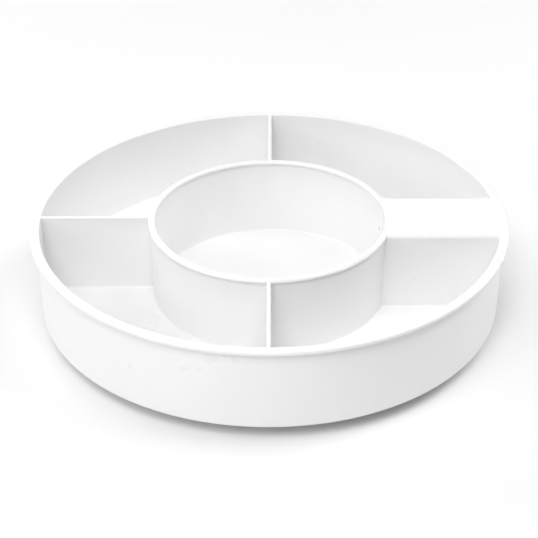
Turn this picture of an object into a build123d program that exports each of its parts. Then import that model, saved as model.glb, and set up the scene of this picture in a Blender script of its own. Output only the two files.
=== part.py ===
from build123d import *
from math import cos, sin, radians
import os

# Lazy susan turntable. Millimetres, +Z up, the axis of rotation on Z and z = 0 on the table.

# Angle of the closing line of every turned body, clear of all ribs and dividers
SEAM_ANGLE = 33

# Tray: outline
TRAY_RIM_RADIUS = 154.5       # outside of the flat lip on the outer wall
RIM_OVERHANG = 3.3            # how far that lip stands out from the wall
TRAY_DRAFT = 0.8              # how far the outer wall leans out from its foot to the rim
TRAY_HEIGHT = 56.2            # underside of the floor to the rim
TRAY_FLOOR = 2.4
OUTER_WALL = 3.0
RING_INNER_RADIUS = 74.0      # inside of the centre well at its floor
RING_WALL = 3.0
RING_DRAFT = 1.0              # how far the ring leans out from its foot to the rim
RING_LIP_INSIDE = 1.0         # how far the ring's lip stands into the well
RING_LIP_OUTSIDE = 0.8        # how far it stands out of the ring on the other side
LIP_THICKNESS = 2.4
LIP_EDGE = 0.8                # rounding of the lips' upper edges
LIP_OUTSIDE_EDGE = 1.6        # rounding of the ring lip's upper outside edge
LIP_LOWER_EDGE = 0.5          # rounding of the lips' lower edges
ROOT_RADIUS = 1.0             # inside corners where the walls meet the floor
HEEL_RADIUS = 1.2             # outside corner under the outer wall

# Tray: dividers
DIVIDER_THICKNESS = 2.6
DIVIDER_FLAT = 0.2            # flat left on top of each rounded divider
DIVIDER_ANGLES = (90, 180, 270)
BLOCK_ANGLE = 0
BLOCK_WIDTH = 50.2
BLOCK_EDGE_RADIUS = 3.0
BLOCK_SKIN = 2.6              # side walls and top of the hollow block
WALL_DROP = 0.15              # tops of the dividers and the block below the lips
ROOT_FLARE = 3.0              # width of divider foot that is merged into the floor

# Tray: spigot under the centre
SPIGOT_RADIUS = 9.0
SPIGOT_WALL = 2.2
SCREW_BOSS_RADIUS = 4.4
SPIGOT_WEB = 1.4
SPIGOT_WEBS = 4
SCREW_END_COVER = 1.2         # floor left above the pilot hole
SCREW_TIP_GAP = 0.5

# Ball track
BALL_RADIUS = 2.5
BALL_COUNT = 16
BALL_PITCH_RADIUS = 62.0
BALL_CLEARANCE = 0.05         # ball to the bottom of each groove
GROOVE_EXTRA_RADIUS = 0.3     # groove radius over ball radius
GROOVE_DEPTH = 0.8
RACE_WIDTH = 10.0
RACE_THICKNESS = 1.6
RACE_SEAT_WALL = 1.6          # ribs on both sides of each race
RACE_SEAT_EXTRA = 0.4         # rib height over the race thickness, under the tray only
CAGE_WIDTH = 9.0
CAGE_THICKNESS = 1.6
POCKET_CLEARANCE = 0.1

# Base
BASE_RADIUS = 104.0
BASE_PLATE = 2.4
BASE_SKIRT = 2.2
BASE_TRAY_GAP = 1.2           # top of the skirt and the hub to the tray
BASE_EDGE_RADIUS = 0.8
HUB_TUBE_WALL = 2.4
HUB_CUP_WALL = 2.4
HUB_FLANGE = 2.2
INNER_RIBS = 8
OUTER_RIBS = 16
RIB_THICKNESS = 1.4
RIB_HEIGHT = 2.0
RIB_BITE = 0.5                # how far each rib end runs into the wall it meets

# Pivot
BUSHING_WALL = 2.0
BUSHING_CLEARANCE = 0.05      # radial running fit on the spigot
BUSHING_LIP = 0.6
BUSHING_LIP_WIDTH = 1.2
THRUST_WASHER_THICKNESS = 0.8
THRUST_PLAY = 0.3             # lift before the washer meets the hub
THRUST_BORE_CLEARANCE = 0.1
WASHER_RADIUS = 14.0
WASHER_THICKNESS = 1.2
WASHER_BORE_CLEARANCE = 0.15
WASHER_CUP_GAP = 1.0
SCREW_RADIUS = 2.0
SCREW_HEAD_RADIUS = 4.6
SCREW_HEAD_HEIGHT = 2.0
SCREW_HEAD_EDGE = 0.6
SCREW_HEAD_TABLE_GAP = 0.8
CROSS_WIDTH = 0.9
CROSS_LENGTH = 4.6
CROSS_DEPTH = 1.2

# Feet
FOOT_COUNT = 8
FOOT_RADIUS = 8.0
FOOT_THICKNESS = 2.0
FOOT_POCKET_DEPTH = 0.8
FOOT_POCKET_CLEARANCE = 0.2
FOOT_EDGE = 0.4
FOOT_INSET = 13.0             # foot centre in from the base's edge

# Heights that follow from the sizes above
BASE_BOTTOM = FOOT_THICKNESS - FOOT_POCKET_DEPTH
PLATE_TOP = BASE_BOTTOM + BASE_PLATE
LOWER_GROOVE = PLATE_TOP + RACE_THICKNESS - GROOVE_DEPTH
BALL_HEIGHT = LOWER_GROOVE + BALL_CLEARANCE + BALL_RADIUS
UPPER_GROOVE = BALL_HEIGHT + BALL_RADIUS + BALL_CLEARANCE
TRAY_BOTTOM = UPPER_GROOVE - GROOVE_DEPTH + RACE_THICKNESS
FLOOR_TOP = TRAY_BOTTOM + TRAY_FLOOR
RIM_TOP = TRAY_BOTTOM + TRAY_HEIGHT
BASE_TOP = TRAY_BOTTOM - BASE_TRAY_GAP
WASHER_BOTTOM = SCREW_HEAD_TABLE_GAP + SCREW_HEAD_HEIGHT
SPIGOT_END = WASHER_BOTTOM + WASHER_THICKNESS
FLANGE_BOTTOM = SPIGOT_END + THRUST_WASHER_THICKNESS + THRUST_PLAY
FLANGE_TOP = FLANGE_BOTTOM + HUB_FLANGE
PILOT_TOP = FLOOR_TOP - SCREW_END_COVER
LIP_BOTTOM = RIM_TOP - LIP_THICKNESS
WALL_TOP = RIM_TOP - WALL_DROP

# Radii that follow from the sizes above
TRAY_FOOT_RADIUS = TRAY_RIM_RADIUS - RIM_OVERHANG - TRAY_DRAFT
RING_OUTER_RADIUS = RING_INNER_RADIUS + RING_WALL
RING_TOP_RADIUS = RING_OUTER_RADIUS + RING_DRAFT
RING_MIDDLE = (RING_INNER_RADIUS + RING_TOP_RADIUS) / 2
RING_LIP_INNER = RING_INNER_RADIUS + RING_DRAFT - RING_LIP_INSIDE
RING_LIP_OUTER = RING_TOP_RADIUS + RING_LIP_OUTSIDE
BUSHING_BORE = SPIGOT_RADIUS + BUSHING_CLEARANCE
HUB_BORE = BUSHING_BORE + BUSHING_WALL
HUB_TUBE_RADIUS = HUB_BORE + HUB_TUBE_WALL
CUP_RADIUS = WASHER_RADIUS + WASHER_CUP_GAP
CUP_OUTER_RADIUS = CUP_RADIUS + HUB_CUP_WALL
RACE_INNER = BALL_PITCH_RADIUS - RACE_WIDTH / 2
RACE_OUTER = BALL_PITCH_RADIUS + RACE_WIDTH / 2
SEAT_INNER = RACE_INNER - RACE_SEAT_WALL
SEAT_OUTER = RACE_OUTER + RACE_SEAT_WALL
SKIRT_INNER = BASE_RADIUS - BASE_SKIRT
FOOT_PITCH_RADIUS = BASE_RADIUS - FOOT_INSET
DIVIDER_CROWN = (DIVIDER_THICKNESS - DIVIDER_FLAT) / 2


def outline(*points):
    """Closed face through points given as (across, up)."""
    return make_face(Polyline(*points, close=True))


def round_corners(face, points, radius):
    """Round the corners of a flat face that lie at the given points."""
    corners = []
    for across, up in points:
        corners.append(face.vertices().sort_by_distance((across, up, 0))[0])
    return fillet(corners, radius)


def turned(face):
    """Body of revolution about Z from a half section given as (radius, height)."""
    return Rot(0, 0, SEAM_ANGLE) * revolve(Plane.XZ * face, Axis.Z)


def collar(inner, outer, low, high):
    """Plain ring about Z."""
    return turned(outline((inner, low), (outer, low), (outer, high), (inner, high)))


def disc(radius, low, high):
    """Plain cylinder about Z."""
    return Pos(0, 0, low) * Cylinder(radius, high - low, align=(Align.CENTER, Align.CENTER, Align.MIN))


def radial_bar(inner, outer, width, low, high, angle):
    """Straight bar that runs outwards from the axis."""
    middle = (inner + outer) / 2
    bar = Pos(middle, 0, (low + high) / 2) * Box(outer - inner, width, high - low)
    return Rot(0, 0, angle) * bar


def leaning(foot, draft, height):
    """Radius of a leaning wall's face at a height, from its radius under the tray."""
    return foot + draft * (height - TRAY_BOTTOM) / TRAY_HEIGHT


def between_walls(inner, inset, low, high):
    """Ring-shaped space from a radius to the outer wall's outside, less an inset."""
    return turned(outline(
        (inner, low),
        (leaning(TRAY_FOOT_RADIUS, TRAY_DRAFT, low) - inset, low),
        (leaning(TRAY_FOOT_RADIUS, TRAY_DRAFT, high) - inset, high),
        (inner, high),
    ))


def tray_shell():
    """Floor, outer wall and centre ring of the tray, with a flat lip on each wall."""
    inside = TRAY_FOOT_RADIUS - OUTER_WALL
    heel = (TRAY_FOOT_RADIUS, TRAY_BOTTOM)
    foot = (leaning(inside, TRAY_DRAFT, FLOOR_TOP), FLOOR_TOP)
    rim_inner = (leaning(inside, TRAY_DRAFT, RIM_TOP), RIM_TOP)
    rim_outer = (TRAY_RIM_RADIUS, RIM_TOP)
    rim_under = (TRAY_RIM_RADIUS, LIP_BOTTOM)
    ring_foot = [
        (leaning(RING_OUTER_RADIUS, RING_DRAFT, FLOOR_TOP), FLOOR_TOP),
        (leaning(RING_INNER_RADIUS, RING_DRAFT, FLOOR_TOP), FLOOR_TOP),
    ]
    ring_under = [(RING_LIP_OUTER, LIP_BOTTOM), (RING_LIP_INNER, LIP_BOTTOM)]
    face = outline(
        (0, TRAY_BOTTOM),
        heel,
        (leaning(TRAY_FOOT_RADIUS, TRAY_DRAFT, LIP_BOTTOM), LIP_BOTTOM),
        rim_under,
        rim_outer,
        rim_inner,
        foot,
        ring_foot[0],
        (leaning(RING_OUTER_RADIUS, RING_DRAFT, LIP_BOTTOM), LIP_BOTTOM),
        ring_under[0],
        (RING_LIP_OUTER, RIM_TOP),
        (RING_LIP_INNER, RIM_TOP),
        ring_under[1],
        (leaning(RING_INNER_RADIUS, RING_DRAFT, LIP_BOTTOM), LIP_BOTTOM),
        ring_foot[1],
        (0, FLOOR_TOP),
    )
    face = round_corners(face, [foot] + ring_foot, ROOT_RADIUS)
    face = round_corners(face, [heel], HEEL_RADIUS)
    face = round_corners(face, [rim_inner, rim_outer, (RING_LIP_INNER, RIM_TOP)], LIP_EDGE)
    face = round_corners(face, [(RING_LIP_OUTER, RIM_TOP)], LIP_OUTSIDE_EDGE)
    face = round_corners(face, [rim_under] + ring_under, LIP_LOWER_EDGE)
    return turned(face)


def standing_wall(thickness, crown, angle):
    """Radial wall from the ring to the outer wall, with a rounded top and a flared foot."""
    side = thickness / 2
    wing = side + ROOT_FLARE
    low = TRAY_BOTTOM + TRAY_FLOOR / 2
    face = outline(
        (-wing, low), (wing, low), (wing, FLOOR_TOP), (side, FLOOR_TOP), (side, WALL_TOP),
        (-side, WALL_TOP), (-side, FLOOR_TOP), (-wing, FLOOR_TOP),
    )
    face = round_corners(face, [(side, WALL_TOP), (-side, WALL_TOP)], crown)
    face = round_corners(face, [(side, FLOOR_TOP), (-side, FLOOR_TOP)], ROOT_RADIUS)
    bar = extrude(Plane.YZ * face, TRAY_RIM_RADIUS)
    space = between_walls(RING_MIDDLE, OUTER_WALL / 2, TRAY_BOTTOM, RIM_TOP)
    return Rot(0, 0, angle) * (bar & space)


def block_core():
    """Space inside the wide block, open underneath."""
    side = BLOCK_WIDTH / 2 - BLOCK_SKIN
    high = WALL_TOP - BLOCK_SKIN
    low = TRAY_BOTTOM - 1
    face = outline((-side, low), (side, low), (side, high), (-side, high))
    inner_radius = max(BLOCK_EDGE_RADIUS - BLOCK_SKIN, ROOT_RADIUS)
    face = round_corners(face, [(side, high), (-side, high)], inner_radius)
    bar = extrude(Plane.YZ * face, TRAY_RIM_RADIUS)
    space = between_walls(RING_TOP_RADIUS, OUTER_WALL, low, RIM_TOP)
    return Rot(0, 0, BLOCK_ANGLE) * (bar & space)


def spigot():
    """Hollow spigot under the tray with a screw boss held by webs."""
    body = collar(SPIGOT_RADIUS - SPIGOT_WALL, SPIGOT_RADIUS, SPIGOT_END, TRAY_BOTTOM)
    body += disc(SCREW_BOSS_RADIUS, SPIGOT_END, TRAY_BOTTOM)
    for index in range(SPIGOT_WEBS):
        angle = index * 360 / SPIGOT_WEBS
        inner = SCREW_BOSS_RADIUS - RIB_BITE
        outer = SPIGOT_RADIUS - SPIGOT_WALL + RIB_BITE
        body += radial_bar(inner, outer, SPIGOT_WEB, SPIGOT_END, TRAY_BOTTOM, angle)
    return body


def tray_underside():
    """Race seat, ribs and spigot under the tray's floor."""
    low = TRAY_BOTTOM - RACE_THICKNESS - RACE_SEAT_EXTRA
    body = collar(SEAT_INNER, RACE_INNER, low, TRAY_BOTTOM)
    body += collar(RACE_OUTER, SEAT_OUTER, low, TRAY_BOTTOM)
    for index in range(INNER_RIBS):
        angle = (index + 0.5) * 360 / INNER_RIBS
        inner = CUP_OUTER_RADIUS
        outer = SEAT_INNER + RIB_BITE
        body += radial_bar(inner, outer, RIB_THICKNESS, low, TRAY_BOTTOM, angle)
    return body + spigot()


def tray():
    """One moulding: shell, dividers, hollow block and the parts under the floor."""
    walls = [standing_wall(DIVIDER_THICKNESS, DIVIDER_CROWN, angle) for angle in DIVIDER_ANGLES]
    walls.append(standing_wall(BLOCK_WIDTH, BLOCK_EDGE_RADIUS, BLOCK_ANGLE))
    body = tray_shell().fuse(*walls)
    body -= block_core()
    body += tray_underside()
    return body - disc(SCREW_RADIUS, SPIGOT_END - 1, PILOT_TOP)


def base():
    """Recessed moulding that stands on the feet and carries the hub and the lower race."""
    face = outline(
        (CUP_RADIUS, BASE_BOTTOM),
        (BASE_RADIUS, BASE_BOTTOM),
        (BASE_RADIUS, BASE_TOP),
        (SKIRT_INNER, BASE_TOP),
        (SKIRT_INNER, PLATE_TOP),
        (SEAT_OUTER, PLATE_TOP),
        (SEAT_OUTER, PLATE_TOP + RACE_THICKNESS),
        (RACE_OUTER, PLATE_TOP + RACE_THICKNESS),
        (RACE_OUTER, PLATE_TOP),
        (RACE_INNER, PLATE_TOP),
        (RACE_INNER, PLATE_TOP + RACE_THICKNESS),
        (SEAT_INNER, PLATE_TOP + RACE_THICKNESS),
        (SEAT_INNER, PLATE_TOP),
        (CUP_OUTER_RADIUS, PLATE_TOP),
        (CUP_OUTER_RADIUS, FLANGE_TOP),
        (HUB_TUBE_RADIUS, FLANGE_TOP),
        (HUB_TUBE_RADIUS, BASE_TOP - BUSHING_LIP),
        (HUB_BORE, BASE_TOP - BUSHING_LIP),
        (HUB_BORE, FLANGE_BOTTOM),
        (CUP_RADIUS, FLANGE_BOTTOM),
    )
    edges = [(BASE_RADIUS, BASE_BOTTOM), (BASE_RADIUS, BASE_TOP), (SKIRT_INNER, BASE_TOP)]
    body = turned(round_corners(face, edges, BASE_EDGE_RADIUS))
    for index in range(INNER_RIBS):
        angle = index * 360 / INNER_RIBS
        inner = CUP_OUTER_RADIUS - RIB_BITE
        outer = SEAT_INNER + RIB_BITE
        body += radial_bar(inner, outer, RIB_THICKNESS, PLATE_TOP - RIB_BITE, PLATE_TOP + RIB_HEIGHT, angle)
    for index in range(OUTER_RIBS):
        angle = (index + 0.5) * 360 / OUTER_RIBS
        inner = SEAT_OUTER - RIB_BITE
        outer = SKIRT_INNER + RIB_BITE
        body += radial_bar(inner, outer, RIB_THICKNESS, PLATE_TOP - RIB_BITE, PLATE_TOP + RIB_HEIGHT, angle)
    for spot in foot_places():
        pocket = disc(FOOT_RADIUS + FOOT_POCKET_CLEARANCE, BASE_BOTTOM - 1, BASE_BOTTOM + FOOT_POCKET_DEPTH)
        body -= spot * pocket
    return body


def foot_places():
    """Centres of the feet."""
    places = []
    for index in range(FOOT_COUNT):
        angle = radians(index * 360 / FOOT_COUNT)
        places.append(Pos(FOOT_PITCH_RADIUS * cos(angle), FOOT_PITCH_RADIUS * sin(angle), 0))
    return places


def foot(spot):
    """Rubber disc with a bevelled lower edge."""
    face = outline(
        (0, 0),
        (FOOT_RADIUS - FOOT_EDGE, 0),
        (FOOT_RADIUS, FOOT_EDGE),
        (FOOT_RADIUS, FOOT_THICKNESS),
        (0, FOOT_THICKNESS),
    )
    return spot * turned(face)


def race(low, groove_bottom, side):
    """Flat ring with a rolled groove; side is 1 where the groove opens upwards, else -1."""
    groove = GROOVE_EXTRA_RADIUS + BALL_RADIUS
    body = collar(RACE_INNER, RACE_OUTER, low, low + RACE_THICKNESS)
    cutter = Pos(0, 0, groove_bottom + side * groove) * Torus(BALL_PITCH_RADIUS, groove)
    return body - cutter


def ball_places():
    """Centres of the balls."""
    places = []
    for index in range(BALL_COUNT):
        angle = radians((index + 0.5) * 360 / BALL_COUNT)
        x = BALL_PITCH_RADIUS * cos(angle)
        y = BALL_PITCH_RADIUS * sin(angle)
        places.append(Pos(x, y, BALL_HEIGHT))
    return places


def bearing_balls():
    """All balls, as separate solids."""
    return Compound([spot * Sphere(BALL_RADIUS) for spot in ball_places()])


def ball_cage():
    """Flat ring with one pocket for each ball."""
    half = CAGE_THICKNESS / 2
    inner = BALL_PITCH_RADIUS - CAGE_WIDTH / 2
    outer = BALL_PITCH_RADIUS + CAGE_WIDTH / 2
    body = collar(inner, outer, BALL_HEIGHT - half, BALL_HEIGHT + half)
    for spot in ball_places():
        body -= spot * Cylinder(BALL_RADIUS + POCKET_CLEARANCE, 2 * CAGE_THICKNESS)
    return body


def hub_bushing():
    """Flanged sleeve in the hub that the spigot turns in."""
    return turned(outline(
        (BUSHING_BORE, FLANGE_BOTTOM),
        (HUB_BORE, FLANGE_BOTTOM),
        (HUB_BORE, BASE_TOP - BUSHING_LIP),
        (HUB_BORE + BUSHING_LIP_WIDTH, BASE_TOP - BUSHING_LIP),
        (HUB_BORE + BUSHING_LIP_WIDTH, BASE_TOP),
        (BUSHING_BORE, BASE_TOP),
    ))


def thrust_washer():
    """Plastic ring that runs against the hub when the tray is lifted."""
    bore = SPIGOT_RADIUS + THRUST_BORE_CLEARANCE
    return collar(bore, WASHER_RADIUS, SPIGOT_END, SPIGOT_END + THRUST_WASHER_THICKNESS)


def pivot_washer():
    """Steel washer under the spigot."""
    bore = SCREW_RADIUS + WASHER_BORE_CLEARANCE
    return collar(bore, WASHER_RADIUS, WASHER_BOTTOM, SPIGOT_END)


def pivot_screw():
    """Pan-head screw with a cross recess, driven up into the spigot."""
    face = outline(
        (0, SCREW_HEAD_TABLE_GAP),
        (SCREW_HEAD_RADIUS, SCREW_HEAD_TABLE_GAP),
        (SCREW_HEAD_RADIUS, WASHER_BOTTOM),
        (SCREW_RADIUS, WASHER_BOTTOM),
        (SCREW_RADIUS, PILOT_TOP - SCREW_TIP_GAP),
        (0, PILOT_TOP - SCREW_TIP_GAP),
    )
    face = round_corners(face, [(SCREW_HEAD_RADIUS, SCREW_HEAD_TABLE_GAP)], SCREW_HEAD_EDGE)
    body = turned(face)
    for angle in (45, 135):
        slot = Pos(0, 0, SCREW_HEAD_TABLE_GAP) * Box(CROSS_LENGTH, CROSS_WIDTH, 2 * CROSS_DEPTH)
        body -= Rot(0, 0, angle) * slot
    return body


os.makedirs("parts", exist_ok=True)

export_step(tray(), "parts/tray.step")
export_step(base(), "parts/base.step")
export_step(race(PLATE_TOP, LOWER_GROOVE, 1), "parts/lower_race.step")
export_step(race(TRAY_BOTTOM - RACE_THICKNESS, UPPER_GROOVE, -1), "parts/upper_race.step")
export_step(ball_cage(), "parts/ball_cage.step")
export_step(bearing_balls(), "parts/bearing_balls.step")
export_step(hub_bushing(), "parts/hub_bushing.step")
export_step(thrust_washer(), "parts/thrust_washer.step")
export_step(pivot_washer(), "parts/pivot_washer.step")
export_step(pivot_screw(), "parts/pivot_screw.step")
for number, spot in enumerate(foot_places(), start=1):
    export_step(foot(spot), f"parts/foot_{number}.step")
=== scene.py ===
import math

import bpy
from mathutils import Matrix, Vector

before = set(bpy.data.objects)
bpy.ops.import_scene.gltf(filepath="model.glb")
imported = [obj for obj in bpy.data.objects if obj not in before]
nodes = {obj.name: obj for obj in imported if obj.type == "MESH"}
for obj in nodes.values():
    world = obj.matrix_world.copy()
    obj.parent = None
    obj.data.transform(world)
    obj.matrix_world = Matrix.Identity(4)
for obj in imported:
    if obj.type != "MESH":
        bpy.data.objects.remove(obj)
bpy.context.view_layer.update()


# ---------------------------------------------------------------- node helpers

NOISE_LOW, NOISE_HIGH = 0.25, 0.75  # the part of a noise value's range that is spread out


def new_material(name):
    """Empty node material with a Principled shader wired to its output."""
    material = bpy.data.materials.new(name)
    material.use_nodes = True
    tree = material.node_tree
    tree.nodes.clear()
    output = tree.nodes.new("ShaderNodeOutputMaterial")
    shader = tree.nodes.new("ShaderNodeBsdfPrincipled")
    tree.links.new(shader.outputs["BSDF"], output.inputs["Surface"])
    return material, tree, shader


def object_space(tree):
    """Object coordinates, the same on every node because all sit at the origin."""
    return tree.nodes.new("ShaderNodeTexCoord").outputs["Object"]


def noise(tree, vector, scale, detail=2.0, rough=0.5):
    """Noise value at a scale in features per metre."""
    node = tree.nodes.new("ShaderNodeTexNoise")
    node.inputs["Scale"].default_value = scale
    node.inputs["Detail"].default_value = detail
    node.inputs["Roughness"].default_value = rough
    tree.links.new(vector, node.inputs["Vector"])
    return node.outputs["Fac"]


def remap(tree, value, low, high):
    """Spread the middle of a noise value over a range."""
    node = tree.nodes.new("ShaderNodeMapRange")
    node.inputs["From Min"].default_value = NOISE_LOW
    node.inputs["From Max"].default_value = NOISE_HIGH
    node.inputs["To Min"].default_value = low
    node.inputs["To Max"].default_value = high
    tree.links.new(value, node.inputs["Value"])
    return node.outputs["Result"]


def blend_colour(tree, factor, first, second):
    """Colour between two tones."""
    node = tree.nodes.new("ShaderNodeMix")
    node.data_type = "RGBA"
    node.inputs["A"].default_value = (*first, 1.0)
    node.inputs["B"].default_value = (*second, 1.0)
    tree.links.new(factor, node.inputs["Factor"])
    return node.outputs["Result"]


def bump(tree, height, distance, strength, under=None):
    """Normal of a height value; the distance is in metres."""
    node = tree.nodes.new("ShaderNodeBump")
    node.inputs["Distance"].default_value = distance
    node.inputs["Strength"].default_value = strength
    tree.links.new(height, node.inputs["Height"])
    if under is not None:
        tree.links.new(under, node.inputs["Normal"])
    return node.outputs["Normal"]


# ---------------------------------------------------------------- materials

# noise scales are in features per metre, depths in metres
PLASTIC_IOR = 1.49
WAVE_SCALE, WAVE_DEPTH, WAVE_STRENGTH = 22.0, 0.00025, 0.35
GRAIN_SCALE, GRAIN_DEPTH = 1600.0, 0.00004
TURNING_SCALE, TURNING_DEPTH, TURNING_STRENGTH = 420.0, 0.00002, 0.3
PEBBLE_SCALE, PEBBLE_DEPTH, PEBBLE_STRENGTH = 1500.0, 0.00008, 0.5
BALL_ROUGHNESS = (0.08, 0.2)
RUBBER_ROUGHNESS = (0.7, 0.9)


def moulded_plastic(name, tone, shade, rough_low, rough_high, grain):
    """Injection-moulded plastic: slow tone drift, fine mould grain and uneven gloss."""
    material, tree, shader = new_material(name)
    space = object_space(tree)
    drift = remap(tree, noise(tree, space, 14.0, 3.0), 0.0, 1.0)
    tree.links.new(blend_colour(tree, drift, tone, shade), shader.inputs["Base Color"])
    gloss = noise(tree, space, 38.0, 4.0, 0.6)
    tree.links.new(remap(tree, gloss, rough_low, rough_high), shader.inputs["Roughness"])
    wave = bump(tree, noise(tree, space, WAVE_SCALE, 1.0), WAVE_DEPTH, WAVE_STRENGTH)
    fine = bump(tree, noise(tree, space, GRAIN_SCALE, 2.0), GRAIN_DEPTH, grain, wave)
    tree.links.new(fine, shader.inputs["Normal"])
    shader.inputs["IOR"].default_value = PLASTIC_IOR
    return material


def turned_steel(name, tone, shade, rough_low, rough_high):
    """Zinc-plated or rolled steel with fine circular lines about the axis."""
    material, tree, shader = new_material(name)
    space = object_space(tree)
    rings = tree.nodes.new("ShaderNodeTexWave")
    rings.wave_type = "RINGS"
    rings.rings_direction = "Z"
    rings.inputs["Scale"].default_value = TURNING_SCALE
    rings.inputs["Distortion"].default_value = 1.5
    rings.inputs["Detail"].default_value = 3.0
    tree.links.new(space, rings.inputs["Vector"])
    drift = remap(tree, noise(tree, space, 60.0, 4.0), 0.0, 1.0)
    tree.links.new(blend_colour(tree, drift, tone, shade), shader.inputs["Base Color"])
    gloss = remap(tree, rings.outputs["Fac"], rough_low, rough_high)
    tree.links.new(gloss, shader.inputs["Roughness"])
    lines = bump(tree, rings.outputs["Fac"], TURNING_DEPTH, TURNING_STRENGTH)
    tree.links.new(lines, shader.inputs["Normal"])
    shader.inputs["Metallic"].default_value = 1.0
    return material


def polished_steel(name, tone, shade):
    """Hard ball steel, polished, with faint handling haze."""
    material, tree, shader = new_material(name)
    space = object_space(tree)
    haze = remap(tree, noise(tree, space, 240.0, 4.0), 0.0, 1.0)
    tree.links.new(blend_colour(tree, haze, tone, shade), shader.inputs["Base Color"])
    gloss = remap(tree, noise(tree, space, 520.0, 3.0), *BALL_ROUGHNESS)
    tree.links.new(gloss, shader.inputs["Roughness"])
    shader.inputs["Metallic"].default_value = 1.0
    return material


def foot_rubber(name, tone, shade):
    """Matt rubber with a fine pebbled skin."""
    material, tree, shader = new_material(name)
    space = object_space(tree)
    mottle = remap(tree, noise(tree, space, 180.0, 4.0), 0.0, 1.0)
    tree.links.new(blend_colour(tree, mottle, tone, shade), shader.inputs["Base Color"])
    gloss = remap(tree, noise(tree, space, 300.0, 3.0), *RUBBER_ROUGHNESS)
    tree.links.new(gloss, shader.inputs["Roughness"])
    pebbles = tree.nodes.new("ShaderNodeTexVoronoi")
    pebbles.inputs["Scale"].default_value = PEBBLE_SCALE
    tree.links.new(space, pebbles.inputs["Vector"])
    skin = bump(tree, pebbles.outputs["Distance"], PEBBLE_DEPTH, PEBBLE_STRENGTH)
    tree.links.new(skin, shader.inputs["Normal"])
    return material


# name, two tones, then lowest and highest roughness, and for plastic the grain strength
SLOTS = {
    "tray": moulded_plastic("tray_white", (0.90, 0.90, 0.90), (0.88, 0.88, 0.88), 0.26, 0.36, 0.12),
    "base": moulded_plastic("base_white", (0.84, 0.84, 0.84), (0.80, 0.80, 0.80), 0.42, 0.55, 0.35),
    "race": turned_steel("race_zinc", (0.66, 0.66, 0.67), (0.56, 0.57, 0.58), 0.22, 0.38),
    "cage": moulded_plastic("cage_acetal", (0.83, 0.82, 0.77), (0.79, 0.78, 0.72), 0.38, 0.5, 0.2),
    "balls": polished_steel("ball_polished", (0.78, 0.78, 0.79), (0.68, 0.69, 0.7)),
    "bushing": moulded_plastic("bushing_acetal", (0.81, 0.8, 0.75), (0.76, 0.75, 0.7),
                               0.34, 0.46, 0.2),
    "zinc": turned_steel("pivot_zinc", (0.72, 0.73, 0.74), (0.62, 0.63, 0.65), 0.25, 0.42),
    "rubber": foot_rubber("foot_grey", (0.062, 0.063, 0.065), (0.045, 0.046, 0.048)),
}

# every node that isn't named here is a foot
NODE_FINISH = {
    "tray": "tray",
    "base": "base",
    "lower_race": "race",
    "upper_race": "race",
    "ball_cage": "cage",
    "bearing_balls": "balls",
    "hub_bushing": "bushing",
    "thrust_washer": "bushing",
    "pivot_washer": "zinc",
    "pivot_screw": "zinc",
}

for name, piece in nodes.items():
    finish = SLOTS[NODE_FINISH.get(name, "rubber")]
    piece.data.materials.clear()
    piece.data.materials.append(finish)


# ---------------------------------------------------------------- floor and light

FLOOR_SIZE = 8.0
FLOOR_TONE, FLOOR_SHADE = (0.89, 0.89, 0.89), (0.88, 0.88, 0.88)
TOOTH_SCALE, TOOTH_DEPTH, TOOTH_STRENGTH = 2200.0, 0.00003, 0.1


def floor_material():
    """Pale paper floor with a faint tooth."""
    material, tree, shader = new_material("floor_paper")
    space = object_space(tree)
    drift = remap(tree, noise(tree, space, 3.0, 2.0), 0.0, 1.0)
    tree.links.new(blend_colour(tree, drift, FLOOR_TONE, FLOOR_SHADE), shader.inputs["Base Color"])
    tooth = bump(tree, noise(tree, space, TOOTH_SCALE, 2.0), TOOTH_DEPTH, TOOTH_STRENGTH)
    tree.links.new(tooth, shader.inputs["Normal"])
    shader.inputs["Roughness"].default_value = 0.9
    shader.inputs["Specular IOR Level"].default_value = 0.0
    return material


bpy.ops.mesh.primitive_plane_add(size=FLOOR_SIZE, location=(0.0, 0.0, 0.0))
floor = bpy.context.active_object
floor.name = "studio_floor"
floor.data.materials.append(floor_material())


WORLD_STRENGTH = 0.03
LIGHT_TARGET = Vector((0.0, 0.0, 0.03))
LIGHT_DISTANCE = 1.9
LOW_BOX = (0.9, 0.7)                # width and height of a softbox low on the dome
MID_BOX = (0.9, 0.9)

# azimuth from the front, positive to the right; elevation; size; watts
SOFTBOXES = (
    (-150.0, 25.0, LOW_BOX, 7.5),
    (-120.0, 25.0, LOW_BOX, 6.2),
    (-60.0, 25.0, LOW_BOX, 6.9),
    (-30.0, 25.0, LOW_BOX, 1.6),
    (120.0, 25.0, LOW_BOX, 10.2),
    (150.0, 25.0, LOW_BOX, 1.4),
    (180.0, 25.0, LOW_BOX, 0.9),
    (-135.0, 55.0, MID_BOX, 0.9),
    (-90.0, 55.0, MID_BOX, 3.1),
    (-30.0, 55.0, MID_BOX, 8.5),
    (0.0, 55.0, MID_BOX, 12.3),
    (90.0, 55.0, MID_BOX, 10.7),
)


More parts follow.
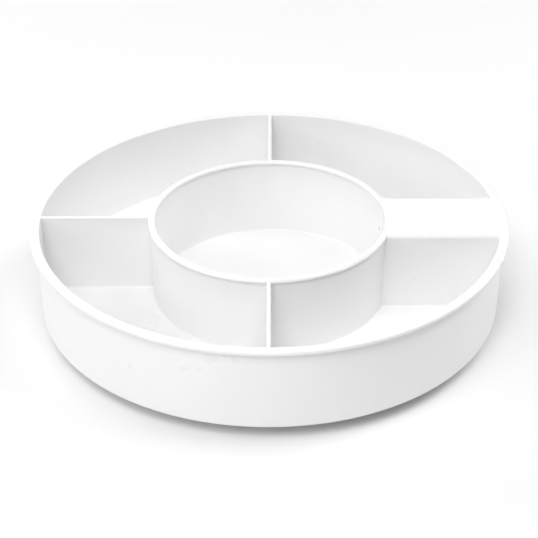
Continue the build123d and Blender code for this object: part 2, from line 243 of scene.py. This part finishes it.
def softbox(azimuth, elevation, size, watts):
    """Rectangular softbox on a dome round the tray, facing it."""
    turn, rise = math.radians(azimuth), math.radians(elevation)
    place = LIGHT_DISTANCE * Vector((
        math.cos(rise) * math.sin(turn),
        -math.cos(rise) * math.cos(turn),
        math.sin(rise),
    ))
    data = bpy.data.lights.new(f"softbox_{azimuth:.0f}_{elevation:.0f}", "AREA")
    data.shape = "RECTANGLE"
    data.size, data.size_y = size
    data.energy = watts
    light = bpy.data.objects.new(data.name, data)
    light.location = place
    light.rotation_euler = (LIGHT_TARGET - place).to_track_quat("-Z", "Y").to_euler()
    bpy.context.scene.collection.objects.link(light)


for azimuth, elevation, size, watts in SOFTBOXES:
    softbox(azimuth, elevation, size, watts)

world = bpy.data.worlds.new("studio")
world.use_nodes = True
background = world.node_tree.nodes["Background"]
background.inputs["Color"].default_value = (1.0, 1.0, 1.0, 1.0)
background.inputs["Strength"].default_value = WORLD_STRENGTH
bpy.context.scene.world = world


# ---------------------------------------------------------------- camera

RIM_HEIGHT = 0.0663                 # level that the camera's heights are counted from
UNIT = 0.1495                       # length that the camera's distances are counted in
ELEVATION = math.radians(29.94)
DISTANCE = 6.49 * UNIT
SIDE_STEP = 0.0322 * UNIT
AIM_SIDE, AIM_DROP = -0.0031 * UNIT, -0.271 * UNIT
ROLL = -0.0056                      # radians
SENSOR_WIDTH = 36.0
FOCAL_LENGTH, FRAME_WIDTH = 1494.1, 538.0   # both in the same unit

place = Vector((SIDE_STEP,
                -DISTANCE * math.cos(ELEVATION),
                DISTANCE * math.sin(ELEVATION) + RIM_HEIGHT))
target = Vector((AIM_SIDE, 0.0, AIM_DROP + RIM_HEIGHT))

forward = (target - place).normalized()
right = forward.cross(Vector((0.0, 0.0, 1.0))).normalized()
up = right.cross(forward)
right_rolled = right * math.cos(ROLL) + up * math.sin(ROLL)
up_rolled = up * math.cos(ROLL) - right * math.sin(ROLL)
rows = Matrix((
    (right_rolled.x, up_rolled.x, -forward.x, place.x),
    (right_rolled.y, up_rolled.y, -forward.y, place.y),
    (right_rolled.z, up_rolled.z, -forward.z, place.z),
    (0.0, 0.0, 0.0, 1.0),
))
camera_data = bpy.data.cameras.new("camera")
camera_data.sensor_width = SENSOR_WIDTH
camera_data.lens = SENSOR_WIDTH * FOCAL_LENGTH / FRAME_WIDTH
camera = bpy.data.objects.new("camera", camera_data)
camera.matrix_world = rows
bpy.context.scene.collection.objects.link(camera)
bpy.context.scene.camera = camera

bpy.context.scene.view_settings.view_transform = "Standard"
bpy.context.scene.view_settings.look = "None"
